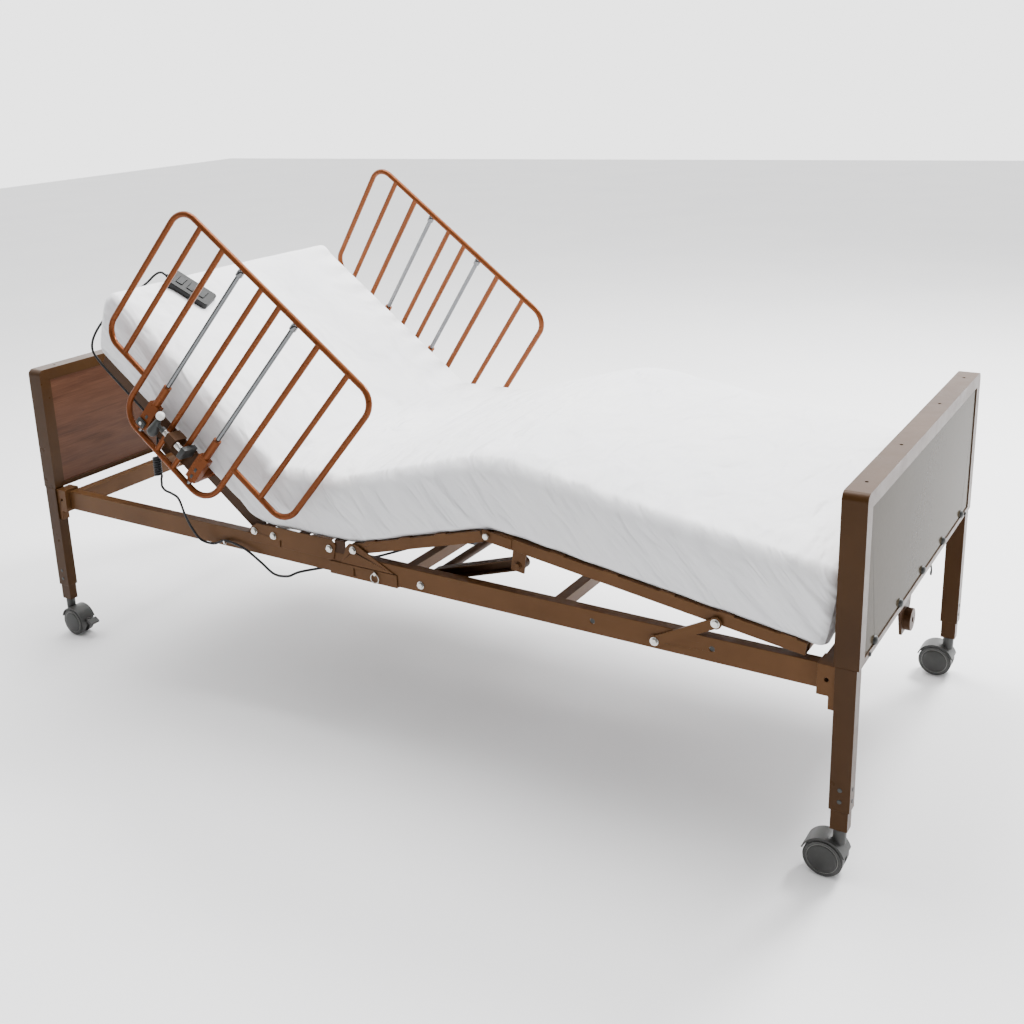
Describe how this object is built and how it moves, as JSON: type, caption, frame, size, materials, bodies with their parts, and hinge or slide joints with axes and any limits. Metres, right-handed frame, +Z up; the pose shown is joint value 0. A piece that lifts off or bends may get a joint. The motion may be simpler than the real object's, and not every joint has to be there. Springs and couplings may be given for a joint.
{
  "type": "adjustable hospital bed",
  "caption": "Adjustable home-care bed: raised back and knees, telescopic legs on casters, half-length side rails, mattress and corded hand control.",
  "frame": {"origin": "on the floor, under the middle of the bed", "axes": "+X towards the foot end, +Y towards the far side of the bed, +Z up"},
  "size_m": [2.18, 1.0462, 1.2028],
  "materials": {
    "bed_end_paint": "satin metallic brown paint",
    "frame_paint": "satin metallic copper-brown paint",
    "rail_paint": "gloss copper-brown paint",
    "deck_paint": "satin dark brown paint",
    "panel_wood": "satin brown laminate with a wood grain",
    "panel_laminate": "gloss taupe laminate",
    "bright_steel": "zinc plated",
    "chrome_post": "polished",
    "chrome_wire": "polished",
    "drive_plastic": "fine texture",
    "knob_plastic": "fine texture",
    "caster_plastic": "fine texture",
    "wheel_tread": "satin",
    "handset_shell": "fine texture",
    "rocker_plastic": "satin",
    "cord_sheath": "satin",
    "mattress_cover": "coated stretch fabric"
  },
  "bodies": {
    "bed_frame": {"head_end_frame": "bed_end_paint", "foot_end_frame": "bed_end_paint", "inner_panels": "panel_wood", "outer_panels": "panel_laminate", "leg_sleeves": "bed_end_paint", "corner_castings": "frame_paint", "side_rails_head": "frame_paint", "side_rails_foot": "frame_paint", "cross_rails": "frame_paint", "splice_sleeves": "frame_paint", "quick_pins": "bright_steel", "pivot_plates": "frame_paint", "frame_bolts": "bright_steel", "seat_deck": "deck_paint", "cable_hooks": "chrome_wire", "head_gear_housing": "deck_paint", "foot_gear_housing": "deck_paint", "lift_motors": "drive_plastic", "control_box": "drive_plastic", "mattress_seat": "mattress_cover", "cord_lead": "cord_sheath"},
    "back_section": {"back_frame": "deck_paint", "back_deck": "deck_paint", "guard_mounts": "rail_paint", "mattress_back": "mattress_cover", "handset": "handset_shell", "cord_coil": "cord_sheath", "cord_tail": "cord_sheath"},
    "thigh_section": {"thigh_frame": "frame_paint", "mattress_thigh": "mattress_cover"},
    "foot_section": {"foot_frame": "frame_paint", "mattress_foot": "mattress_cover"},
    "back_rod": {"back_push_rod": "bright_steel"},
    "knee_rod": {"knee_push_rod": "bright_steel"},
    "knee_shaft": {"knee_crank": "deck_paint"},
    "link_near": {"foot_link_near": "frame_paint"},
    "link_far": {"foot_link_far": "frame_paint"},
    "guard_n": {"guard_near": "rail_paint", "guard_posts_near": "chrome_post"},
    "guard_f": {"guard_far": "rail_paint", "guard_posts_far": "chrome_post"},
    "knob_n": {"release_knob_near": "knob_plastic"},
    "knob_f": {"release_knob_far": "knob_plastic"},
    "key_back": {"rocker_back": "rocker_plastic"},
    "key_knee": {"rocker_knee": "rocker_plastic"},
    "key_height": {"rocker_height": "rocker_plastic"},
    "leg_hn": {"inner_leg_hn": "bed_end_paint"},
    "caster_hn": {"caster_fork_hn": "caster_plastic"},
    "wheels_hn": {"caster_wheels_hn": "wheel_tread"},
    "leg_hf": {"inner_leg_hf": "bed_end_paint"},
    "caster_hf": {"caster_fork_hf": "caster_plastic"},
    "wheels_hf": {"caster_wheels_hf": "wheel_tread"},
    "leg_fn": {"inner_leg_fn": "bed_end_paint"},
    "caster_fn": {"caster_fork_fn": "caster_plastic"},
    "wheels_fn": {"caster_wheels_fn": "wheel_tread"},
    "leg_ff": {"inner_leg_ff": "bed_end_paint"},
    "caster_ff": {"caster_fork_ff": "caster_plastic"},
    "wheels_ff": {"caster_wheels_ff": "wheel_tread"},
    "brake_hn": {"brake_lever_hn": "caster_plastic"},
    "brake_hf": {"brake_lever_hf": "caster_plastic"}
  },
  "joints": [
    {"name": "back_lift", "type": "hinge", "parent": "bed_frame", "child": "back_section", "pos_m": [-0.34, 0, 0.43], "axis": [0, 1, 0], "range_deg": [-37.5, 27], "deforming": ["cord_lead", "cord_tail", "mattress_seat"]},
    {"name": "back_rod_push", "type": "slide", "parent": "bed_frame", "child": "back_rod", "axis": [1, 0, 0], "range_m": [-0.056, 0.07]},
    {"name": "knee_lift", "type": "hinge", "parent": "bed_frame", "child": "thigh_section", "pos_m": [-0.041, 0, 0.437], "axis": [0, -1, 0], "range_deg": [-15.5, 12], "deforming": ["mattress_thigh"]},
    {"name": "foot_fold", "type": "hinge", "parent": "thigh_section", "child": "foot_section", "pos_m": [0.31651, 0, 0.53614], "axis": [0, -1, 0], "range_deg": [-18.4, 23.75]},
    {"name": "link_near_turn", "type": "hinge", "parent": "bed_frame", "child": "link_near", "pos_m": [0.697, -0.44, 0.389], "axis": [0, -1, 0], "range_deg": [-16.5, 13]},
    {"name": "link_far_turn", "type": "hinge", "parent": "bed_frame", "child": "link_far", "pos_m": [0.697, 0.44, 0.389], "axis": [0, -1, 0], "range_deg": [-16.5, 13]},
    {"name": "knee_shaft_turn", "type": "hinge", "parent": "bed_frame", "child": "knee_shaft", "pos_m": [0.155, 0, 0.4], "axis": [0, -1, 0], "range_deg": [-23.5, 18.2]},
    {"name": "knee_rod_push", "type": "slide", "parent": "bed_frame", "child": "knee_rod", "axis": [1, 0, 0], "range_m": [-0.025, 0.0195]},
    {"name": "guard_near_slide", "type": "slide", "parent": "back_section", "child": "guard_n", "axis": [0.5995, 0.1736, 0.7813], "range_m": [-0.33, 0]},
    {"name": "guard_far_slide", "type": "slide", "parent": "back_section", "child": "guard_f", "axis": [0.5995, -0.1736, 0.7813], "range_m": [-0.33, 0]},
    {"name": "knob_near_pull", "type": "slide", "parent": "back_section", "child": "knob_n", "axis": [-0.7934, 0, 0.6088], "range_m": [0, 0.008], "stiffness_N_per_m": 1500},
    {"name": "knob_far_pull", "type": "slide", "parent": "back_section", "child": "knob_f", "axis": [-0.7934, 0, 0.6088], "range_m": [0, 0.008], "stiffness_N_per_m": 1500},
    {"name": "key_back_tip", "type": "hinge", "parent": "back_section", "child": "key_back", "pos_m": [-0.73097, -0.21699, 0.97453], "axis": [0.7356, 0.3746, -0.5644], "range_deg": [-4, 4], "stiffness_Nm_per_rad": 0.6},
    {"name": "key_knee_tip", "type": "hinge", "parent": "back_section", "child": "key_knee", "pos_m": [-0.70743, -0.205, 0.95647], "axis": [0.7356, 0.3746, -0.5644], "range_deg": [-4, 4], "stiffness_Nm_per_rad": 0.6},
    {"name": "key_height_tip", "type": "hinge", "parent": "back_section", "child": "key_height", "pos_m": [-0.68389, -0.19301, 0.93841], "axis": [0.7356, 0.3746, -0.5644], "range_deg": [-4, 4], "stiffness_Nm_per_rad": 0.6},
    {"name": "leg_hn_extend", "type": "slide", "parent": "bed_frame", "child": "leg_hn", "axis": [0, 0, -1], "range_m": [-0.035, 0.16]},
    {"name": "caster_hn_swivel", "type": "hinge", "parent": "leg_hn", "child": "caster_hn", "pos_m": [-1.0675, -0.442, 0.09], "axis": [0, 0, 1], "continuous": true},
    {"name": "wheels_hn_roll", "type": "hinge", "parent": "caster_hn", "child": "wheels_hn", "pos_m": [-1.0435, -0.442, 0.0375], "axis": [0, 1, 0], "continuous": true},
    {"name": "leg_hf_extend", "type": "slide", "parent": "bed_frame", "child": "leg_hf", "axis": [0, 0, -1], "range_m": [-0.035, 0.16]},
    {"name": "caster_hf_swivel", "type": "hinge", "parent": "leg_hf", "child": "caster_hf", "pos_m": [-1.0675, 0.442, 0.09], "axis": [0, 0, 1], "continuous": true},
    {"name": "wheels_hf_roll", "type": "hinge", "parent": "caster_hf", "child": "wheels_hf", "pos_m": [-1.0435, 0.442, 0.0375], "axis": [0, 1, 0], "continuous": true},
    {"name": "leg_fn_extend", "type": "slide", "parent": "bed_frame", "child": "leg_fn", "axis": [0, 0, -1], "range_m": [-0.035, 0.16]},
    {"name": "caster_fn_swivel", "type": "hinge", "parent": "leg_fn", "child": "caster_fn", "pos_m": [1.0675, -0.442, 0.09], "axis": [0, 0, 1], "continuous": true},
    {"name": "wheels_fn_roll", "type": "hinge", "parent": "caster_fn", "child": "wheels_fn", "pos_m": [1.0435, -0.442, 0.0375], "axis": [0, 1, 0], "continuous": true},
    {"name": "leg_ff_extend", "type": "slide", "parent": "bed_frame", "child": "leg_ff", "axis": [0, 0, -1], "range_m": [-0.035, 0.16]},
    {"name": "caster_ff_swivel", "type": "hinge", "parent": "leg_ff", "child": "caster_ff", "pos_m": [1.0675, 0.442, 0.09], "axis": [0, 0, 1], "continuous": true},
    {"name": "wheels_ff_roll", "type": "hinge", "parent": "caster_ff", "child": "wheels_ff", "pos_m": [1.0435, 0.442, 0.0375], "axis": [0, 1, 0], "continuous": true},
    {"name": "brake_hn_press", "type": "hinge", "parent": "caster_hn", "child": "brake_hn", "pos_m": [-0.9995, -0.442, 0.0475], "axis": [0, 1, 0], "range_deg": [0, 14]},
    {"name": "brake_hf_press", "type": "hinge", "parent": "caster_hf", "child": "brake_hf", "pos_m": [-0.9995, 0.442, 0.0475], "axis": [0, 1, 0], "range_deg": [0, 14]}
  ],
  "couplings": [
    {"joint": "back_rod_push", "follows": "back_lift", "m_per_rad": -0.104},
    {"joint": "foot_fold", "follows": "knee_lift", "ratio": -1.529},
    {"joint": "link_near_turn", "follows": "knee_lift", "ratio": 1.05},
    {"joint": "link_far_turn", "follows": "knee_lift", "ratio": 1.05},
    {"joint": "knee_shaft_turn", "follows": "knee_lift", "ratio": 1.5},
    {"joint": "knee_rod_push", "follows": "knee_lift", "m_per_rad": 0.091},
    {"joint": "leg_hf_extend", "follows": "leg_hn_extend", "ratio": 1},
    {"joint": "leg_fn_extend", "follows": "leg_hn_extend", "ratio": 1},
    {"joint": "leg_ff_extend", "follows": "leg_hn_extend", "ratio": 1}
  ]
}
